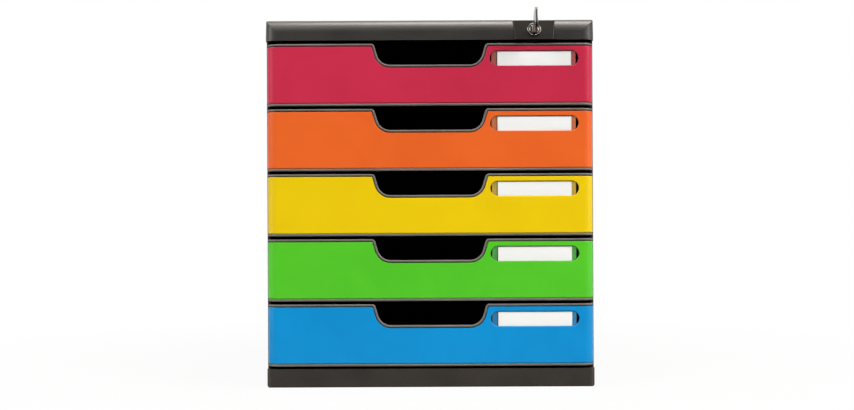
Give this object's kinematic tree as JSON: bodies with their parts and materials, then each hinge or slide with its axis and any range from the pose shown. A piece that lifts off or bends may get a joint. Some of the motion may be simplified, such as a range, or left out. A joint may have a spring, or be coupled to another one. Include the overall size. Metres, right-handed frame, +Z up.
{
  "type": "desktop drawer unit",
  "caption": "Box-shaped desktop drawer unit with a moulded case, sliding trays with coloured notched fronts and label windows, and a key lock that lifts a bar to hold the drawers shut.",
  "frame": {"origin": "on the table, under the centre of the case, where the base's ribs cross", "axes": "+X to the right seen from the front, +Y to the back, +Z up"},
  "size_m": [0.288, 0.3709, 0.3279],
  "materials": {
    "case_plastic": "moulded polystyrene, fine satin grain",
    "tray_plastic": "moulded polystyrene, near black",
    "front_plastic": "moulded polystyrene, satin grey",
    "label_card": "smooth white card",
    "label_window": "clear extruded strip",
    "lock_block": "smooth black moulding",
    "plated_metal": "nickel-plated die casting",
    "bar_steel": "sheet steel, black passivated",
    "screw_steel": "zinc-plated steel",
    "panel_red": "gloss moulded polystyrene",
    "panel_orange": "gloss moulded polystyrene",
    "panel_yellow": "gloss moulded polystyrene",
    "panel_green": "gloss moulded polystyrene",
    "panel_blue": "gloss moulded polystyrene"
  },
  "bodies": {
    "case_body": {"top_cover": "case_plastic", "base_plinth": "case_plastic", "left_side_panel": "case_plastic", "right_side_panel": "case_plastic", "back_panel": "case_plastic", "cover_screws": "screw_steel", "base_screws": "screw_steel", "back_screws": "screw_steel", "lock_housing": "lock_block", "lock_barrel": "plated_metal", "lock_nut": "screw_steel", "lock_bar_guides": "tray_plastic"},
    "drawer_1": {"drawer_1_tray": "tray_plastic", "drawer_1_front_frame": "front_plastic", "drawer_1_front_panel": "panel_red", "drawer_1_label_card": "label_card", "drawer_1_label_window": "label_window", "drawer_1_strike": "tray_plastic"},
    "drawer_2": {"drawer_2_tray": "tray_plastic", "drawer_2_front_frame": "front_plastic", "drawer_2_front_panel": "panel_orange", "drawer_2_label_card": "label_card", "drawer_2_label_window": "label_window", "drawer_2_strike": "tray_plastic"},
    "drawer_3": {"drawer_3_tray": "tray_plastic", "drawer_3_front_frame": "front_plastic", "drawer_3_front_panel": "panel_yellow", "drawer_3_label_card": "label_card", "drawer_3_label_window": "label_window", "drawer_3_strike": "tray_plastic"},
    "drawer_4": {"drawer_4_tray": "tray_plastic", "drawer_4_front_frame": "front_plastic", "drawer_4_front_panel": "panel_green", "drawer_4_label_card": "label_card", "drawer_4_label_window": "label_window", "drawer_4_strike": "tray_plastic"},
    "drawer_5": {"drawer_5_tray": "tray_plastic", "drawer_5_front_frame": "front_plastic", "drawer_5_front_panel": "panel_blue", "drawer_5_label_card": "label_card", "drawer_5_label_window": "label_window", "drawer_5_strike": "tray_plastic"},
    "turning_plug": {"lock_plug": "plated_metal", "lock_cam": "bar_steel", "cam_screw": "screw_steel"},
    "lock_key": {"key": "plated_metal"},
    "sliding_bar": {"lock_bar": "bar_steel", "lock_bar_arm": "bar_steel", "lock_bar_hooks": "bar_steel"}
  },
  "joints": [
    {"name": "drawer_1_slide", "type": "slide", "parent": "case_body", "child": "drawer_1", "axis": [0, -1, 0], "range_m": [0, 0.245]},
    {"name": "drawer_2_slide", "type": "slide", "parent": "case_body", "child": "drawer_2", "axis": [0, -1, 0], "range_m": [0, 0.245]},
    {"name": "drawer_3_slide", "type": "slide", "parent": "case_body", "child": "drawer_3", "axis": [0, -1, 0], "range_m": [0, 0.245]},
    {"name": "drawer_4_slide", "type": "slide", "parent": "case_body", "child": "drawer_4", "axis": [0, -1, 0], "range_m": [0, 0.245]},
    {"name": "drawer_5_slide", "type": "slide", "parent": "case_body", "child": "drawer_5", "axis": [0, -1, 0], "range_m": [0, 0.245]},
    {"name": "key_turn", "type": "hinge", "parent": "case_body", "child": "turning_plug", "pos_m": [0.0912, -0.16959, 0.3115], "axis": [0, 0.9613, -0.2756], "range_deg": [0, 90]},
    {"name": "lock_bar_lift", "type": "slide", "parent": "case_body", "child": "sliding_bar", "axis": [0, 0, 1], "range_m": [0, 0.00883]},
    {"name": "key_pull", "type": "slide", "parent": "turning_plug", "child": "lock_key", "axis": [0, -0.9613, 0.2756], "range_m": [0, 0.03]}
  ],
  "couplings": [
    {"joint": "key_turn", "follows": "lock_bar_lift", "rad_per_m": 177.95}
  ]
}
